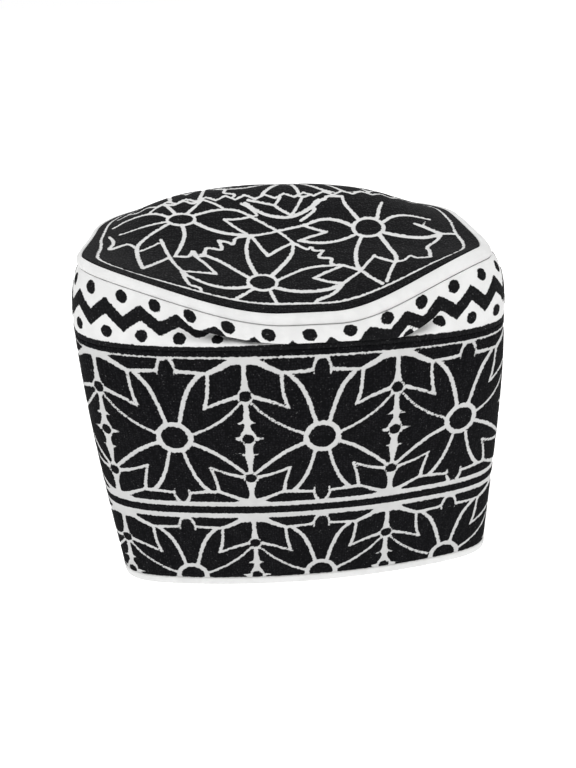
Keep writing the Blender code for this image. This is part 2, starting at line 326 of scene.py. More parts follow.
# Height and half width of the pillar's bare stem
stemProfile = np.array((
    (-37.5, 6.5), (-35.6, 3.0), (-34.0, 1.5), (-31.0, 1.1), (-27.5, 1.4), (-24.8, 2.3), (-22.0, 3.0),
    (-19.4, 1.8), (-17.5, 0.8), (-14.0, 1.2), (-11.0, 1.7), (-9.0, 2.1), (-7.2, 1.6), (-5.0, 1.5),
    (-3.6, 1.9), (-2.0, 3.0), (0.0, 3.4), (2.5, 3.0), (4.2, 1.9), (5.5, 1.25), (7.0, 1.25), (8.4, 1.9),
    (10.5, 1.35), (13.5, 1.05), (17.0, 1.0), (18.4, 2.2), (21.5, 2.5), (23.5, 2.0), (26.5, 1.3),
    (30.0, 0.95), (34.0, 0.95), (36.0, 1.6), (38.0, 6.0),
))
upperStrokes = (
    ((3.0, 2.0), ((0, 36.6), (5.5, 35.8), (9.5, 33.6), (14.6, 31.0))),                 # head of the kite
    ((2.4, 1.2), ((0, 37.4), (6.5, 37.4))),                                            # its broad top
    ((1.5, 1.6), ((14.6, 31.0), (20, 31.3), (25, 31.6), (27.2, 32.0))),                # shoulder
    ((0.7, 1.7), ((27.6, 29.9), (27.5, 32.6), (28.2, 35.2), (29.4, 37.2))),            # side of the bud
    ((1.3, 1.1), ((29.0, 37.2), (31.1, 37.0))),                                        # tip of the bud
    ((1.9, 1.9), ((17.6, 30.6), (22.3, 25.0), (25.2, 18.2), (27.2, 11.2), (28.3, 6.6))),   # petal
    ((1.4, 1.5), ((14.7, 30.5), (15.0, 25.5), (15.7, 20.0), (17.1, 15.2))),            # kite, outer side
    ((1.2, 1.9), ((17.4, 14.8), (11.2, 17.9), (6.5, 19.7), (2.8, 20.9))),              # kite, lower side
    ((1.0, 1.5), ((2.0, 18.2), (6.2, 13.3), (10.4, 9.4), (16.3, 5.2), (22.9, 1.8))),   # leaf
    ((1.6, 0.2), ((1.2, 8.6), (4.3, 7.5))),                                            # barb
    ((2.2, 0.3), ((3.0, -0.2), (7.0, 0.1))),                                           # star
)
lowerStrokes = (
    ((2.0, 1.5), ((23.2, -3.4), (16.4, -6.9), (10.4, -11.5), (5.2, -16.3), (2.2, -19.3))),   # leaf
    ((1.1, 2.0), ((17.4, -15.9), (11.4, -18.8), (6, -20.6), (2.6, -21.6))),            # kite, upper side
    ((1.3, 1.6), ((17.2, -16.0), (15.3, -23.5), (14.4, -30.0))),                       # kite, outer side
    ((1.6, 2.0), ((27.9, -8.2), (26.5, -14.0), (24.2, -20.8), (21.4, -26.3), (18.7, -29.8))),   # petal
    ((1.8, 1.5), ((13.8, -30.3), (19.5, -30.5), (24.5, -31.0), (27.4, -31.2))),        # shoulder
    ((0.7, 1.8), ((27.8, -28.9), (27.6, -32.0), (28.2, -34.4), (29.2, -36.2))),        # side of the bud
    ((1.3, 2.4), ((13.8, -30.4), (9.5, -32.4), (5.5, -34.5), (1, -36))),               # foot of the kite
    ((2.4, 1.4), ((0, -36.8), (7.0, -36.8))),                                          # its broad base
    ((1.3, 0.2), ((1.2, -9.3), (4.3, -8.0))),                                          # barb
)


def flowerRow(x, y, withLower):
    # Half a repeat, mirrored about the pillar: stem, dots, strokes and the flower's ring
    chart = sideChart
    centre = 0.5 * cap["seamLength"] / chart["repeats"]
    field = x - np.interp(y, stemProfile[:, 0], stemProfile[:, 1])
    strokes = upperStrokes + lowerStrokes if withLower else upperStrokes
    widen = chart["strokeWaver"] * drift(x, y, chart["strokeReach"], 5)
    field = np.minimum(field, strokeField(x, y, strokes, widen))
    away = np.hypot(x - centre, y + chart["ringDown"])
    ring = np.abs(away - chart["ringRadius"]) - 0.5 * chart["ringWidth"]
    field = np.minimum(field, ring)
    for key in ("upperDot", "middleDot", "lowerDot"):
        height, radius = chart[key]
        away = np.hypot(x, y - height)
        field = np.minimum(field, away - radius - chart["dotRim"])
        field = np.maximum(field, radius - away)
    return field


def sideField(s, h):
    # Signed distance of the side wall's stitching, positive on thread, at places s along the seam and
    # heights h
    chart = sideChart
    repeat = cap["seamLength"] / chart["repeats"]
    along = s + chart["waver"] * drift(s, h, chart["waverReach"][0], 1)
    up = h + chart["waver"] * drift(s, h, chart["waverReach"][1], 2)
    x = np.abs(np.mod(along - chart["firstPillar"] + 0.5 * repeat, repeat) - 0.5 * repeat)
    low, high = chart["lowerLine"]
    middle = 0.5 * (low + high)
    upper = flowerRow(x, up - chart["flowerHeight"], True)
    lower = flowerRow(x, up - chart["flowerHeight"] + chart["lowerRowDown"], False)
    field = np.where(up > middle, upper, lower)
    topLine = np.abs(up - chart["flowerHeight"] - chart["topLine"]) - 0.5 * chart["topLineWidth"]
    field = np.minimum(field, topLine)
    rimLow, rimHigh = chart["lowerLineRims"]
    half = 0.5 * (rimHigh - rimLow)
    field = np.minimum(field, np.abs(up - 0.5 * (rimLow + rimHigh)) - half)
    field = np.maximum(field, 0.5 * (high - low) - np.abs(up - middle))
    above = up - chart["flowerHeight"] - chart["topLine"] - 0.5 * chart["topLineWidth"]
    field = np.maximum(field, above)
    foot = h - chart["hemEdge"] - chart["hemWaver"] * drift(s, 0.0 * h, chart["hemReach"], 9)
    return np.minimum(field, foot)


# Upper band: rows of dots on both sides of a zigzag, up from the seam
bandChart = {
    "repeats": 38,
    "firstDot": 2.5,           # an upper dot, along the seam
    "lineTop": 2.2,            # the thick line's upper edge
    "lowerDots": (6.9, 2.5),   # height and radius
    "upperDots": (23.2, 2.6),
    "zigzagHeight": 14.6,
    "zigzagSwing": 3.3,
    "zigzagWidth": 4.9,
    "zigzagWaver": 0.2,        # mm that the zigzag strays up and down
    "zigzagReach": 9.0,        # mm from one stray to the next
    "waver": 0.3,              # mm that all of the stitching strays along the seam
    "waverReach": 31.0,
    "clothUp": 27.6,           # the cloth's length up the band
    "stretch": 2.4,            # the slumped front is stretched sideways by this much
    "stretchReach": 75.0,
    "pleat": (-20.0, 5.0),     # the stretch along the seam whose pleat hides the lower stitching
    "pleatUp": 18.5,           # as far up as this
    "lipRow": 7.7,             # the row of the bends where the cloth comes out of the fold
    "outAt": (5.0, 21.0, 34.0, 43.0, 60.0),    # places right of the front's middle,
    "closed": (1.0, 1.0, 1.0, 1.0, 0.0),       # how far the fold is closed there
    "outUp": (19.2, 17.0, 10.0, 7.0, 2.2),     # and the height on the cloth where it comes out
}


def bandUp(rows):
    # Height on the flat cloth in mm, the height for the thick line, how much the cloth is squeezed and
    # where it is hidden. Left of the front's middle the height is the share of the way up the bends times
    # clothUp. Right of it the height is true up to the line's top, and goes evenly from outUp to clothUp
    # above the place where the cloth comes out of the fold.
    chart = bandChart
    steps = np.linalg.norm(np.diff(rows, axis=0), axis=2) / mm
    arc = np.concatenate([np.zeros((1, rows.shape[1])), np.cumsum(steps, axis=0)])
    s = seamPlace * cap["seamLength"]
    even = arc / arc[-1] * chart["clothUp"]
    lip = arc[round(chart["lipRow"] / (len(bandBends) - 1) * (len(rows) - 1))]
    closed = np.interp(s, chart["outAt"], chart["closed"])
    arcOut = chart["lineTop"] + closed * (lip - chart["lineTop"])
    outUp = np.interp(s, chart["outAt"], chart["outUp"])
    squeeze = (chart["clothUp"] - outUp) / (arc[-1] - arcOut)
    right = s > chart["outAt"][0]
    up = np.where(right, np.where(arc > arcOut, outUp + (arc - arcOut) * squeeze, arc), even)
    tucked = right & (arc > chart["lineTop"]) & (arc < arcOut)
    pleated = (s > chart["pleat"][0]) & ~right & (even < chart["pleatUp"])
    squeeze = np.broadcast_to(np.where(right, squeeze, chart["clothUp"] / arc[-1]), arc.shape)
    return up, np.where(right, arc, even), squeeze, tucked | pleated


def bandField(s, up, lineUp, squeeze, hidden):
    # Signed distance of the band's stitching, positive on thread. The zigzag's middle is the height
    # mid + swing (1 - 4 |x| / repeat), and its distance is taken square to its slope.
    chart = bandChart
    repeat = cap["seamLength"] / chart["repeats"]
    fromFront = np.clip((s - chart["firstDot"]) / chart["stretchReach"], -1.0, 1.0)
    stretch = chart["stretch"] * np.sin(np.pi * fromFront)
    slack = s - chart["firstDot"] + chart["waver"] * drift(s, up, chart["waverReach"], 7)
    upper = np.mod(slack - stretch + 0.5 * repeat, repeat) - 0.5 * repeat
    lower = np.mod(slack - np.maximum(stretch, 0.0), repeat) - 0.5 * repeat
    height, radius = chart["upperDots"]
    field = radius - np.hypot(upper, (up - height) / squeeze)
    height, radius = chart["lowerDots"]
    field = np.maximum(field, radius - np.hypot(lower, (up - height) / squeeze))
    middle = chart["zigzagHeight"] + chart["zigzagSwing"] * (1.0 - 4.0 * np.abs(lower) / repeat)
    slope = 4.0 * chart["zigzagSwing"] / repeat / squeeze
    strayed = up + chart["zigzagWaver"] * drift(s, up, chart["zigzagReach"], 8)
    away = np.abs(strayed - middle) / squeeze / np.sqrt(1.0 + slope ** 2)
    field = np.maximum(field, 0.5 * chart["zigzagWidth"] - away)
    field = np.where(hidden, relief["bare"], field)
    return np.maximum(field, chart["lineTop"] - lineUp)


# Crown: four flowers about a crossing, seen in plan, in millimetres from the frame's origin
crownChart = {
    "crossing": (-6.0, -7.2),      # the half behind the ridge is the front half turned about this
    "turnedFrom": 14.0,            # y past which the turned half takes over
    "join": (-78.0, 76.0, 4.6),    # a serrated line there: its reach in x and its step
    "joinSwing": 1.7,
    "joinWidth": 1.4,
    "borderWidth": 3.4,            # stitched line round the edge
    "borderRim": 1.1,
    "strokeWiden": 0.2,            # the strokes are this share wider, give or take strokeWaver
    "strokeWaver": 0.1,
    "strokeReach": 20.0,           # mm from one broad place to the next
    "rings": (                     # centre, radii and width of the flowers' rings
        ((-14.3, -47.8), (5.9, 5.6), 1.5),
        ((35.4, -13.3), (6.7, 6.5), 1.8),
        ((-48.0, -0.3), (6.2, 3.9), 1.5),
    ),
}
crownStrokes = (
    # front flower
    ((1.6, 1.3), ((-16.5, -42.0), (-18.3, -35), (-19.5, -27), (-19.3, -19), (-17.8, -12.8))),
    ((1.8, 1.3), ((-10, -42.8), (-6, -37), (-2, -30.5), (0.4, -24), (1, -18.5))),
    ((1.3, 1.6), ((-16.8, -12.5), (-13.6, -20), (-10.6, -27.2))),
    ((1.6, 1.3), ((-10.6, -27.2), (-5, -22.5), (1, -18.3))),
    ((1.5, 1.7), ((-19.5, -44.5), (-25, -38.5), (-30, -32.8), (-36, -27.7), (-39, -26))),
    ((1.7, 1.3), ((-20, -51), (-26, -52.6), (-32, -52.8), (-38, -51), (-44, -46.8), (-46.8, -42.8))),
    ((1.2, 1.4), ((-8.6, -47), (-2, -42.5), (4, -38.9), (10, -37.6), (17, -38.4), (20.3, -39.8))),
    ((1.6, 1.8), ((-8.8, -52), (-2, -54.4), (5, -54.8), (12, -54), (17.6, -52.3))),
    ((1.3, 1.3), ((20.3, -39.6), (13.5, -42.2), (7, -45.8))),
    ((1.3, 1.3), ((7, -45.8), (12, -48.8), (18, -51.6))),
    ((1.3, 1.3), ((-18.5, -52.6), (-22, -56.3), (-25.5, -59.8))),
    ((1.3, 1.3), ((-11.5, -54), (-10.5, -58), (-9, -62.5))),
    # kites between the front and right flowers
    ((1.2, 1.2), ((17.6, -52.3), (22, -49), (26.5, -45.8), (30, -41.5), (34, -36.2))),
    ((1.2, 1.2), ((20.3, -39.6), (26.5, -45.8), (29.3, -51), (33.3, -57))),
    ((1.2, 1.4), ((34, -37.2), (37.8, -41.8), (41, -45))),
    ((1.3, 1.2), ((41, -45), (37.6, -51), (35.2, -56.5))),
    ((1.4, 1.4), ((17.8, -52.4), (14.8, -56), (10.5, -58.6), (6.4, -60.6), (5.8, -63.2))),
    # right flower
    ((1.8, 1.3), ((29, -11.5), (25, -7.6), (20, -4.9), (15, -4.4), (10, -6), (7.3, -7.4))),
    ((1.5, 1.5), ((29, -17.2), (22, -19.9), (15, -20.5), (9, -19.3), (4.3, -17.5))),
    ((1.3, 1.3), ((7.3, -7.4), (11.5, -10), (16.6, -12.9))),
    ((1.3, 1.3), ((16.6, -12.9), (10, -15), (3.8, -17.6))),
    ((1.5, 1.4), ((31.3, -19.2), (28.5, -26), (26.6, -33), (25.8, -40), (26.2, -45))),
    ((1.8, 1.5), ((39, -19), (40.6, -26), (41.6, -33), (42.2, -40), (41.2, -45))),
    ((1.8, 2.4), ((41.5, -18), (47, -21.5), (53, -24.7), (59, -27), (64.5, -25.8))),
    ((1.5, 1.2), ((42.5, -10.5), (46, -7.8), (50, -6), (55, -5.8), (60, -7.6), (64, -10))),
    ((1.6, 1.2), ((31.8, -7.2), (29.6, -1), (27.6, 4), (27, 10.5))),
    ((1.6, 1.2), ((40.6, -7.2), (42.4, -1), (45, 5))),
    ((1.5, 1.9), ((56.5, -13.3), (60.5, -18), (65, -25.8))),
    ((1.0, 0.4), ((59.5, -15.5), (61.5, -12))),
    ((1.6, 1.2), ((65, -25.8), (70, -28), (73.3, -32.5))),
    # serrated ends of the flowers' sectors
    ((1.4, 1.2), ((65, -26), (61.8, -31.2), (56.6, -36), (56, -41), (54.6, -48.3))),
    ((1.2, 1.2), ((54.6, -48.3), (50, -46), (47.6, -42.6), (44.6, -45.2), (41.4, -44.9))),
    ((1.2, 1.2), ((1.5, -19), (6.4, -24), (8.6, -22.8), (9.6, -25.4), (13.6, -26.2))),
    ((1.2, 1.4), ((13.6, -26.2), (11, -30.8), (15.9, -33), (15.5, -37), (18.2, -38.8))),
    ((1.3, 1.6), ((6.2, -4), (12.8, 1.8), (12.8, 5.6), (15.8, 8.8), (18.6, 9), (20.4, 11.3), (27, 10.4))),
    ((1.2, 1.2), ((-19, -12.3), (-23.8, -13.5), (-25.2, -17.8), (-28, -16), (-31.5, -15.2))),
    ((1.4, 1.3), ((-31.5, -15.2), (-30.4, -21.8), (-36.6, -20.5), (-37.6, -26.6))),
    ((1.5, 1.3), ((-50, -28.6), (-44.6, -28.2), (-42.5, -23.2), (-41, -27.4), (-37, -27))),
    ((1.5, 1.2), ((-66.4, -24.4), (-70, -20.2), (-73.6, -23.2), (-77.2, -28), (-76.6, -18), (-79.5, -10))),
    # crossing
    ((1.1, 1.3), ((1, -18.3), (-5, -9.8), (-16.6, 0.6))),
    ((1.3, 1.2), ((-18, -12), (-12, -11.4), (-5, -9.8), (3, -8), (8, -7))),
    # left flower
    ((1.5, 1.7), ((-42.2, -2.2), (-36, -6.6), (-30, -9.4), (-24, -10.9), (-18, -11.9))),
    ((1.3, 1.3), ((-42, 2.2), (-35, 4.6), (-28, 5.5), (-22, 4.4), (-16.6, 0.8))),
    ((1.2, 1.3), ((-18, -11.6), (-23, -7), (-28.4, -1.1))),
    ((1.2, 1.2), ((-28.4, -1.1), (-22, -0.9), (-16.6, 0.3))),
    ((1.5, 1.3), ((-47.5, -3.9), (-46.4, -10), (-47.5, -18), (-49.4, -25.5), (-50.2, -29))),
    ((1.3, 1.6), ((-53.4, -3), (-59.5, -9), (-63.6, -15), (-66, -22), (-65.6, -30), (-64, -38), (-62, -46))),
    ((1.1, 1.0), ((-54, -1.6), (-60, -2.8), (-67, -5), (-75, -9))),
    ((1.4, 1.2), ((-53.6, 1.6), (-59, 5.2), (-66, 7), (-74, 5.6), (-79, 1))),
    ((1.4, 1.2), ((-50.6, 3.4), (-53, 8), (-56.4, 13.6))),
    ((1.4, 1.2), ((-45.4, 3.4), (-41.6, 8.4), (-38, 13.6))),
    ((1.3, 1.3), ((-56.4, 13.6), (-51.6, 11.2), (-47, 13.8), (-42.6, 11), (-38, 13.6))),
    ((1.2, 1.2), ((-63, 6.4), (-60.6, 10.4), (-56.4, 13.6))),
    ((1.3, 1.2), ((-38, 13.6), (-32.4, 9.6), (-28, 5.5))),
    # kites between the left and front flowers
    ((1.5, 1.3), ((-56.4, -15.8), (-54.6, -22), (-52.4, -29.6), (-50, -36), (-46.8, -42.8))),
    ((1.2, 1.3), ((-52.4, -30.2), (-58, -38.8), (-62, -46))),
    ((0.9, 0.9), ((-57.4, -18), (-64.6, -26.8))),
    ((1.4, 1.4), ((-46.8, -42.8), (-40, -42.4), (-33, -42.7))),
    ((1.4, 1.2), ((-33, -42.7), (-36.4, -36), (-42.3, -26.6))),
    ((1.4, 1.2), ((-46.8, -43), (-45.4, -49), (-43.4, -54), (-39.6, -55.6), (-39, -58.4))),
    # kites towards the back flower
    ((1.4, 1.8), ((-18.4, 9.6), (-14, 4.8), (-9, 1.2), (-3, -0.9), (2, -1), (7, 0.9), (12, 4.4),
                  (16.4, 8.6))),
    ((1.5, 1.2), ((-17, 11.6), (-11, 9.6), (-5, 7.2))),
    ((1.3, 1.2), ((-5, 7.2), (-1.4, 3), (2.3, 0))),
    ((1.2, 1.2), ((2.3, 0), (5.6, 5.6), (8.4, 12))),
    ((1.2, 1.2), ((-5, 7.2), (-2.2, 12), (-0.6, 18))),
    ((1.2, 1.2), ((-0.6, 16), (4, 16.6), (8.4, 12), (13, 14))),
    ((1.2, 1.1), ((-20.4, 9), (-17, 6.4), (-13.6, 1.6), (-16.6, 0.6))),
)


def crownMotifs(x, y):
    # The strokes, widened, and bare rings with stitching inside them
    chart = crownChart
    widen = chart["strokeWiden"] + chart["strokeWaver"] * drift(x, y, chart["strokeReach"], 11)
    field = strokeField(x, y, crownStrokes, widen)
    for (cx, cy), (rx, ry), width in chart["rings"]:
        # an ellipse, its distance taken along the ray from its centre
        ray = np.hypot((x - cx) / rx, (y - cy) / ry)
        away = np.abs(ray - 1.0) * np.hypot(x - cx, y - cy) / np.maximum(ray, 1e-6)
        inside = ray < 1.0 - 0.5 * width / min(rx, ry)
        field = np.where(inside, np.maximum(field, away - 0.5 * width), field)
        field = np.minimum(field, away - 0.5 * width)
    return field


def crownField(x, y, inset):
    # Signed distance of the crown's stitching, positive on thread. inset is the distance in from the
    # crown's edge; the line round the edge is broader in plan where the front corners are steep.
    chart = crownChart
    turnedX, turnedY = 2 * chart["crossing"][0] - x, 2 * chart["crossing"][1] - y
    field = np.where(y > chart["turnedFrom"], crownMotifs(turnedX, turnedY), crownMotifs(x, y))
    across = np.arange(*chart["join"])
    swing = np.where(np.arange(len(across)) % 2, 1.0, -1.0) * chart["joinSwing"]
    join = ((chart["joinWidth"],) * 2, np.stack([across, chart["turnedFrom"] + swing], axis=-1))
    field = np.minimum(field, strokeField(x, y, (join,), smooth=False))
    rim = borderInset(x, y)
    field = np.minimum(field, np.abs(inset - rim - 0.5 * chart["borderRim"]) - 0.5 * chart["borderRim"])
    return np.maximum(field, rim - inset)


# Breadth of the edge line in plan, for places x across the front
borderBreadth = {
    "across": (-84, -70, -55, -40, -25, -10, 10, 25, 40, 55, 70, 79),
    "breadth": (5.0, 6.6, 6.2, 5.4, 4.8, 4.4, 4.2, 4.2, 4.6, 5.4, 5.6, 4.4),
}


def borderInset(x, y):
    # The table's breadth at the front, and borderWidth from the sides back
    front = np.interp(x, borderBreadth["across"], borderBreadth["breadth"])
    share = fade(y, -30.0, -10.0)
    return share * front + (1.0 - share) * crownChart["borderWidth"]


# Relief of the stitched cloth
relief = {
    "threadHeight": 0.28 * mm,     # how far the thread stands above the cloth
    "edgeFrom": -0.3,              # mm of signed distance over which it rises
    "edgeTo": 0.5,
    "waver": 0.30 * mm,            # slow unevenness of the cloth
    "bare": -5.0,                  # signed distance given to cloth with no stitching
}


def raised(rows, normals, field):
    # Moved out along the normals by threadHeight, with a smooth rise at the stitching's edge
    lift = 1.0 - fade(field, relief["edgeFrom"], relief["edgeTo"])
    return rows + normals * (lift * relief["threadHeight"])[:, :, None]


def shellFaces(rows, columns, closed):
    # Quads between neighbouring rings, and from the last ring to the first where closed
    ring = np.arange(rows if closed else rows - 1)[:, None]
    place = np.arange(columns)[None, :]
    above, beside = (ring + 1) % rows, (place + 1) % columns
    corners = (ring * columns + place, ring * columns + beside,
               above * columns + beside, above * columns + place)
    return np.stack(corners, axis=-1).reshape(-1, 4)


def makePiece(name, points, faces, field, material, tips=()):
    # tips are fans of triangles, each a ring's first point, its size, the pole and its direction
    mesh = bpy.data.meshes.new(name)
    fans = []
    for first, count, pole, outward in tips:
        ring = first + np.arange(count)
        beside = first + (np.arange(count) + 1) % count
        fan = (ring, beside) if outward else (beside, ring)
        fans.append(np.stack([*fan, np.full(count, pole)], axis=-1))
    corners = np.concatenate([faces.ravel()] + [fan.ravel() for fan in fans])
    sizes = np.concatenate([np.full(len(faces), 4)] + [np.full(len(fan), 3) for fan in fans])
    mesh.vertices.add(len(points))
    mesh.vertices.foreach_set("co", np.asarray(points, np.float32).ravel())
    mesh.loops.add(len(corners))
    mesh.loops.foreach_set("vertex_index", corners.astype(np.int32))
    mesh.polygons.add(len(sizes))
    starts = np.concatenate(([0], np.cumsum(sizes)[:-1]))
    mesh.polygons.foreach_set("loop_start", starts.astype(np.int32))
    mesh.update(calc_edges=True)
    mesh.validate()
    mesh.shade_smooth()
    mesh.attributes.new("thread", "FLOAT", "POINT")
    mesh.attributes["thread"].data.foreach_set("value", np.asarray(field, np.float32).ravel())
    mesh.materials.append(material)
    piece = bpy.data.objects.new(name, mesh)
    scene.collection.objects.link(piece)
    return piece


def placePiece(piece, node):
    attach(piece, "root")
    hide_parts(node)


# Materials. They read object coordinates in millimetres and the thread attribute.
finish = {
    "clothColour": (0.80, 0.80, 0.795),
    "clothShade": (0.68, 0.68, 0.675),
    "threadColour": (0.0045, 0.0045, 0.0052),
    "threadSheen": (0.013, 0.013, 0.0145),
    "roughness": 0.9,
    "sheenRoughness": 0.4,
    "weaveSize": 0.55,             # mm
    "weaveRandom": 0.45,
    "weaveHeight": -0.10,          # bump heights are in shares of bumpDepth
    "mottleSize": 6.0,             # mm
    "mottleRange": (0.35, 0.65),   # noise from no shade to full shade
    "mottleShare": 0.35,           # how far full shade goes towards clothShade
    "stitchSize": 1.15,            # mm
    "stitchRandom": 0.55,
    "stitchRange": (0.05, 0.65),   # from a stitch's middle, as shares of its size, where it falls away
    "stitchRise": 0.30,            # bump height that a stitch's middle adds
    "threadRise": 0.20,            # to the thread's own
    "edgeRough": 0.50,             # mm that the stitched edge wanders
    "edgeSize": 1.3,               # mm from one wander to the next
    "edgeSoft": 0.16,              # mm on both sides of the edge where cloth and thread mix
    "fleckSize": 0.7,              # mm, faint pale flecks in the thread
    "fleckRange": (0.72, 0.86),
    "fleckShare": 0.10,
    "bumpStrength": 0.8,
    "bumpDepth": 1.0 * mm,
}


class Nodes:
    # A short way to add nodes and link them
    def __init__(self, material):
        self.tree = material.node_tree

    def add(self, kind, **values):
        node = self.tree.nodes.new(kind)
        for key, value in values.items():
            if key.startswith("in_"):
                node.inputs[int(key[3:])].default_value = value
            else:
                setattr(node, key, value)
        return node

    def link(self, source, target):
        self.tree.links.new(source, target)

    def math(self, operation, a, b=None, c=None):
        node = self.add("ShaderNodeMath", operation=operation)
        for place, value in enumerate((a, b, c)):
            if value is None:
                continue
            if isinstance(value, (int, float)):
                node.inputs[place].default_value = value
            else:
                self.link(value, node.inputs[place])
        return node.outputs[0]

    def ramp(self, value, low, high, to=(0.0, 1.0)):
        node = self.add("ShaderNodeMapRange", interpolation_type="SMOOTHSTEP", in_1=low, in_2=high,
                        in_3=to[0], in_4=to[1])
        self.link(value, node.inputs[0])
        return node.outputs[0]

    def blend(self, share, a, b):
        node = self.add("ShaderNodeMix", data_type="RGBA")
        for place, value in ((6, a), (7, b)):
            if isinstance(value, tuple):
                node.inputs[place].default_value = (*value, 1.0)
            else:
                self.link(value, node.inputs[place])
        self.link(share, node.inputs[0])
        return node.outputs[2]


def makeClothMaterial(name, stitched, paintedShading=1.0, gloss=0.12, sheen=0.0):
    material = bpy.data.materials.new(name)
    material.use_nodes = True
    n = Nodes(material)
    shader = material.node_tree.nodes["Principled BSDF"]
    shader.inputs["Roughness"].default_value = finish["roughness"]
    shader.inputs["Specular IOR Level"].default_value = gloss
    shader.inputs["Sheen Weight"].default_value = sheen
    shader.inputs["Sheen Roughness"].default_value = finish["sheenRoughness"]
    # Painted shade: the cloth's colour and its mottled tone are scaled by the piece's share, so the same
    # white cotton is painted darker on pieces that get less light
    clothColour = tuple(paintedShading * value for value in finish["clothColour"])
    clothShade = tuple(paintedShading * value for value in finish["clothShade"])
    coordinates = n.add("ShaderNodeTexCoord")
    scaled = n.add("ShaderNodeMapping", vector_type="POINT")
    scaled.inputs["Scale"].default_value = (1000.0, 1000.0, 1000.0)
    n.link(coordinates.outputs["Object"], scaled.inputs["Vector"])
    place = scaled.outputs["Vector"]

    def noise(size, detail=2.0):
        node = n.add("ShaderNodeTexNoise")
        node.inputs["Scale"].default_value = 1.0 / size
        node.inputs["Detail"].default_value = detail
        n.link(place, node.inputs["Vector"])
        return node.outputs["Fac"]

    # plain weave: fine cells, and broad faint mottling
    weave = n.add("ShaderNodeTexVoronoi", feature="F1")
    weave.inputs["Scale"].default_value = 1.0 / finish["weaveSize"]
    weave.inputs["Randomness"].default_value = finish["weaveRandom"]
    n.link(place, weave.inputs["Vector"])
    weaveHeight = n.math("MULTIPLY", weave.outputs["Distance"], finish["weaveHeight"])
    mottle = n.ramp(noise(finish["mottleSize"]), *finish["mottleRange"])
    cloth = n.blend(n.math("MULTIPLY", mottle, finish["mottleShare"]), clothColour, clothShade)
    height = weaveHeight
    colour = cloth
    if stitched:
        thread = n.add("ShaderNodeAttribute", attribute_name="thread").outputs["Fac"]
        rough = finish["edgeRough"]
        wander = n.math("MULTIPLY_ADD", noise(finish["edgeSize"], 1.0), 2.0 * rough, -rough)
        edge = n.math("ADD", thread, wander)
        mask = n.ramp(edge, -finish["edgeSoft"], finish["edgeSoft"])
        stitch = n.add("ShaderNodeTexVoronoi", feature="F1")
        stitch.inputs["Scale"].default_value = 1.0 / finish["stitchSize"]
        stitch.inputs["Randomness"].default_value = finish["stitchRandom"]
        n.link(place, stitch.inputs["Vector"])
        loop = n.ramp(stitch.outputs["Distance"], *finish["stitchRange"], (1.0, 0.0))
        black = n.blend(loop, finish["threadColour"], finish["threadSheen"])
        fleck = n.ramp(noise(finish["fleckSize"], 0.0), *finish["fleckRange"])
        black = n.blend(n.math("MULTIPLY", fleck, finish["fleckShare"]), black, clothShade)
        colour = n.blend(mask, cloth, black)
        stitchHeight = n.math("MULTIPLY_ADD", loop, finish["stitchRise"], finish["threadRise"])
        height = n.math("ADD", n.math("MULTIPLY", mask, stitchHeight), weaveHeight)
    n.link(colour, shader.inputs["Base Color"])
    bump = n.add("ShaderNodeBump")
    bump.inputs["Strength"].default_value = finish["bumpStrength"]
    bump.inputs["Distance"].default_value = finish["bumpDepth"]
    n.link(height, bump.inputs["Height"])
    n.link(bump.outputs["Normal"], shader.inputs["Normal"])
    return material


print("charts and materials ready")


def alongSeam(rows):
    # Places along the seam in mm, the same in each row
    return np.broadcast_to(seamPlace * cap["seamLength"], (rows, cap["columns"]))


def unevenness(points, reach, seed):
    # The drift at x + 0.4 z and y - 0.3 z, so that it changes with the height too
    x, y, z = (points[..., k] / mm for k in range(3))
    return drift(x + 0.4 * z, y - 0.3 * z, reach, seed) * relief["waver"]


def closedLoop(name, outer, inner, field, material):
    # A shell: the outer rows upwards, then the inner rows downwards
    loop = np.concatenate([outer, inner[::-1]])
    values = np.concatenate([field, np.full(inner.shape[:2], relief["bare"])])
    faces = shellFaces(len(loop), loop.shape[1], True)
    return makePiece(name, loop.reshape(-1, 3), faces, values, material)


hem = {
    "outerRows": 14,
    "innerRows": (0, 3, 6, 9, 12, 13),     # the outer rows that the inner face follows
    "foot": 0.3,               # share of the swell at the foot and the top
    "stitchPitch": 3.4,        # mm between the dents of its stitches
    "stitchDepth": 0.16 * mm,
}


def hemSwell(share):
    # foot + (1 - foot) sin(pi share)^0.5, with share the height's share of the hem
    return hem["foot"] + (1.0 - hem["foot"]) * np.sin(np.pi * share) ** 0.5


def makeHem():
    # The wall's lowest rows, moved out by hemOut times the swell, less dents of (0.5 + 0.5 cos)^4 along
    # the seam. The inner face lies the cloth's thickness in, and swells as much.
    share = np.linspace(0.0, 1.0, hem["outerRows"])
    rows = wallRows(share * cap["hemHeight"])
    inward = np.array([inwardOf(row[:, :2]) for row in rows])
    pitches = round(cap["seamLength"] / hem["stitchPitch"])
    dent = hem["stitchDepth"] * (0.5 + 0.5 * np.cos(2 * np.pi * pitches * shares)) ** 4
    dent = dent[None, :] * np.sin(np.pi * share)[:, None]
    outer = rows.copy()
    outer[:, :, :2] -= inward * (cap["hemOut"] * hemSwell(share)[:, None] - dent)[:, :, None]
    follow = list(hem["innerRows"])
    inner = rows[follow]
    innerSwell = hemSwell(inner[:, 0, 2] / inner[-1, 0, 2])
    inner[:, :, :2] += inward[follow] * (cap["cloth"] + cap["hemOut"] * innerSwell)[:, None, None]
    field = np.full(outer.shape[:2], relief["bare"])
    piece = closedLoop("hem_binding_cloth", outer, inner, field, makeClothMaterial("hemCotton", False))
    placePiece(piece, "hem_binding")


side = {
    "outerRows": 137,
    "innerRows": 9,
    "waverReach": 42.0,        # mm from one dent of the cloth to the next
    "waverFrom": 6.0 * mm,     # the dents grow to their full depth over this much at both edges
    # painted shade: the side wall's white cotton is painted darker, as less light falls on it than on the
    # top
    "paintedShading": 0.78,
    "gloss": 0.04,
    "flat": (0.560, 0.126),    # the strip it was cut to, in metres
}


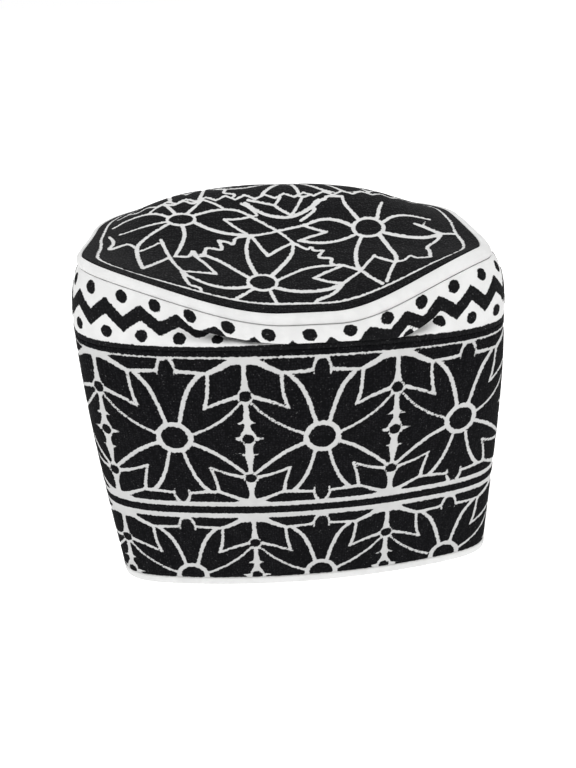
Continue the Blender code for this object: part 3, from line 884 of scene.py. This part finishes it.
def makeSideBand():
    # The wall's rows, moved along their normals by the unevenness and by the thread. The inner face is
    # the same curves, moved in by the cloth's thickness.
    low = cap["hemHeight"] + cap["seamGap"]
    heights = np.linspace(low, seamHeight, side["outerRows"])
    rows = wallRows(heights)
    normals = outwardNormals(rows)
    s = alongSeam(len(rows))
    field = sideField(s, np.broadcast_to(heights[:, None] / mm, s.shape))
    edge = np.minimum(1.0, np.minimum(heights - low, seamHeight - heights) / side["waverFrom"])[:, None]
    rows = rows + normals * (unevenness(rows, side["waverReach"], 3) * edge)[:, :, None]
    outer = raised(rows, normals, field)
    inner = wallRows(np.linspace(low, seamHeight, side["innerRows"]))
    inner[:, :, :2] += np.array([inwardOf(row[:, :2]) for row in inner]) * cap["cloth"]
    material = makeClothMaterial("sideEmbroidery", True, side["paintedShading"], side["gloss"])
    piece = closedLoop("side_band_cloth", outer, inner, field, material)
    placePiece(piece, "side_band")


upper = {
    "outerRows": 62,
    "innerRows": 24,
    "flat": (0.560, 0.0276),   # the strip it was cut to, in metres
}


def makeUpperBand():
    # Smooth curves through the bends, moved out by the thread. The inner face lies the cloth's thickness
    # in along the normals, and its first row is level with the seam.
    rows = bandRows(throughRows(bandBends, np.linspace(0, len(bandBends) - 1, upper["outerRows"])))
    normals = outwardNormals(rows)
    field = bandField(alongSeam(len(rows)), *bandUp(rows))
    outer = raised(rows, normals, field)
    innerRows = bandRows(throughRows(bandBends, np.linspace(0, len(bandBends) - 1, upper["innerRows"])))
    inner = innerRows - outwardNormals(innerRows) * cap["cloth"]
    inner[0] = innerRows[0]
    inner[0, :, :2] += inwardOf(innerRows[0][:, :2]) * cap["cloth"]
    piece = closedLoop("upper_band_cloth", outer, inner, field, makeClothMaterial("bandCotton", True))
    placePiece(piece, "upper_band")


welt = {
    "outerRows": 14,
    "innerRows": 6,
    "foot": 0.2,               # share of the swell at both edges
    "pitch": 1.6,              # mm between the dents of its stitches
    "depth": 0.10 * mm,
}


def makeWelt():
    # Moved out by weltOut (foot + (1 - foot) sin(pi share)^0.6), with share the way across the seam, and
    # by a cosine of dents along it
    places = np.linspace(0, len(weltBends) - 1, welt["outerRows"])
    rows = bandRows(throughRows(weltBends, places))
    share = places / places[-1]
    swell = cap["weltOut"] * (welt["foot"] + (1.0 - welt["foot"]) * np.sin(np.pi * share) ** 0.6)
    pitches = round(cap["seamLength"] / welt["pitch"])
    dents = welt["depth"] * np.cos(2 * np.pi * pitches * shares)[None, :] * np.sin(np.pi * share)[:, None]
    outer = rows + outwardNormals(rows) * (swell[:, None] + dents)[:, :, None]
    innerRows = bandRows(throughRows(weltBends, np.linspace(0, len(weltBends) - 1, welt["innerRows"])))
    inner = innerRows - outwardNormals(innerRows) * cap["cloth"]
    field = np.full(outer.shape[:2], relief["bare"])
    piece = closedLoop("crown_welt_cloth", outer, inner, field, makeClothMaterial("weltCotton", False))
    placePiece(piece, "crown_welt")


crown = {
    "outerRings": 124,
    "innerRings": 16,
    "smallestRing": 0.012,
    "smallestInnerRing": 0.06,
    "waverReach": 30.0,        # mm from one dent of the cloth to the next
    "waverFrom": 8.0,          # mm in from the edge over which the dents grow to their full depth
    # painted shade: the crown's white cotton is painted a little darker than the band's
    "paintedShading": 0.94,
    "gloss": 0.10,
    "sheen": 0.06,
    "flat": (0.168, 0.134),    # the rounded piece it was cut to, in metres, and its area
    "flatArea": 0.0192,
}


def makeCrown():
    # Rings from the edge to the middle, moved out by the unevenness and the thread, over inner rings the
    # cloth's thickness in. A fan of triangles closes each face at its middle.
    rings = np.linspace(1.0, crown["smallestRing"], crown["outerRings"])
    rows = crownRows(rings)
    normals = outwardNormals(rows)
    x, y = rows[:, :, 0] / mm, rows[:, :, 1] / mm
    inset = np.linalg.norm(rows[:, :, :2] - rows[:1, :, :2], axis=2) / mm
    field = crownField(x, y, inset)
    calm = np.minimum(1.0, inset / crown["waverFrom"])
    rows = rows + normals * (unevenness(rows, crown["waverReach"], 4) * calm)[:, :, None]
    outer = raised(rows, normals, field)
    innerRings = crownRows(np.linspace(1.0, crown["smallestInnerRing"], crown["innerRings"]))
    inner = innerRings - outwardNormals(innerRings) * cap["cloth"]
    columns = cap["columns"]
    loop = np.concatenate([inner[::-1], outer])
    pole, underPole = outer[-1].mean(axis=0), inner[-1].mean(axis=0)
    points = np.concatenate([loop.reshape(-1, 3), [underPole], [pole]])
    values = np.concatenate([np.full(inner.shape[0] * columns, relief["bare"]), field.ravel(),
                             [relief["bare"], field[-1].mean()]])
    faces = shellFaces(len(loop), columns, False)
    last = (len(loop) - 1) * columns
    tips = ((0, columns, len(loop) * columns, False), (last, columns, len(loop) * columns + 1, True))
    material = makeClothMaterial("crownEmbroidery", True, crown["paintedShading"], crown["gloss"], crown["sheen"])
    piece = makePiece("crown_cloth", points, faces, values, material, tips)
    placePiece(piece, "crown")


makeHem()
print("hem made")
makeSideBand()
print("side wall made")
makeUpperBand()
print("upper band made")
makeWelt()
print("welt made")
makeCrown()
print("crown made")

# Studio: a pale floor, soft light from above and all round
studio = {
    "floorSize": 60.0,
    "floorColour": (0.80, 0.80, 0.80),
    "floorRoughness": 0.9,
    "floorGlow": 0.66,
    "aim": (0.0, 0.0, 0.08),   # the point that the lights face
    "skySeen": 1.0,            # the white all round, as the camera sees it
    "skyLight": 0.50,          # and as it lights the cap
    "lights": (                # name, place, size, watts
        ("key", (-0.5, -0.7, 1.3), 0.9, 7.0),
        ("fill", (0.9, -0.6, 0.9), 1.0, 3.0),
        ("top", (0.0, 0.3, 1.5), 1.4, 5.0),
    ),
}
scene.view_settings.view_transform = "Standard"     # keeps the black and the white of the real cloth


def makeStudio():
    half = studio["floorSize"] / 2
    mesh = bpy.data.meshes.new("floor")
    corners = [(-half, -half, 0), (half, -half, 0), (half, half, 0), (-half, half, 0)]
    mesh.from_pydata(corners, [], [(0, 1, 2, 3)])
    floor = bpy.data.objects.new("floor", mesh)
    scene.collection.objects.link(floor)
    material = bpy.data.materials.new("floorPaper")
    material.use_nodes = True
    shader = material.node_tree.nodes["Principled BSDF"]
    shader.inputs["Base Color"].default_value = (*studio["floorColour"], 1.0)
    shader.inputs["Roughness"].default_value = studio["floorRoughness"]
    shader.inputs["Emission Color"].default_value = (1.0, 1.0, 1.0, 1.0)
    shader.inputs["Emission Strength"].default_value = studio["floorGlow"]
    mesh.materials.append(material)
    world = bpy.data.worlds.new("studio")
    world.use_nodes = True
    tree = world.node_tree
    background = tree.nodes["Background"]
    background.inputs["Color"].default_value = (1.0, 1.0, 1.0, 1.0)
    seen = tree.nodes.new("ShaderNodeLightPath").outputs["Is Camera Ray"]
    strength = tree.nodes.new("ShaderNodeMapRange")
    strength.inputs["To Min"].default_value = studio["skyLight"]
    strength.inputs["To Max"].default_value = studio["skySeen"]
    tree.links.new(seen, strength.inputs["Value"])
    tree.links.new(strength.outputs["Result"], background.inputs["Strength"])
    scene.world = world
    for name, place, size, watts in studio["lights"]:
        data = bpy.data.lights.new(name, "AREA")
        data.size = size
        data.energy = watts
        light = bpy.data.objects.new(name, data)
        light.location = place
        light.rotation_mode = "QUATERNION"
        light.rotation_quaternion = (Vector(studio["aim"]) - light.location).to_track_quat("-Z", "Y")
        scene.collection.objects.link(light)


makeStudio()
print("studio made")
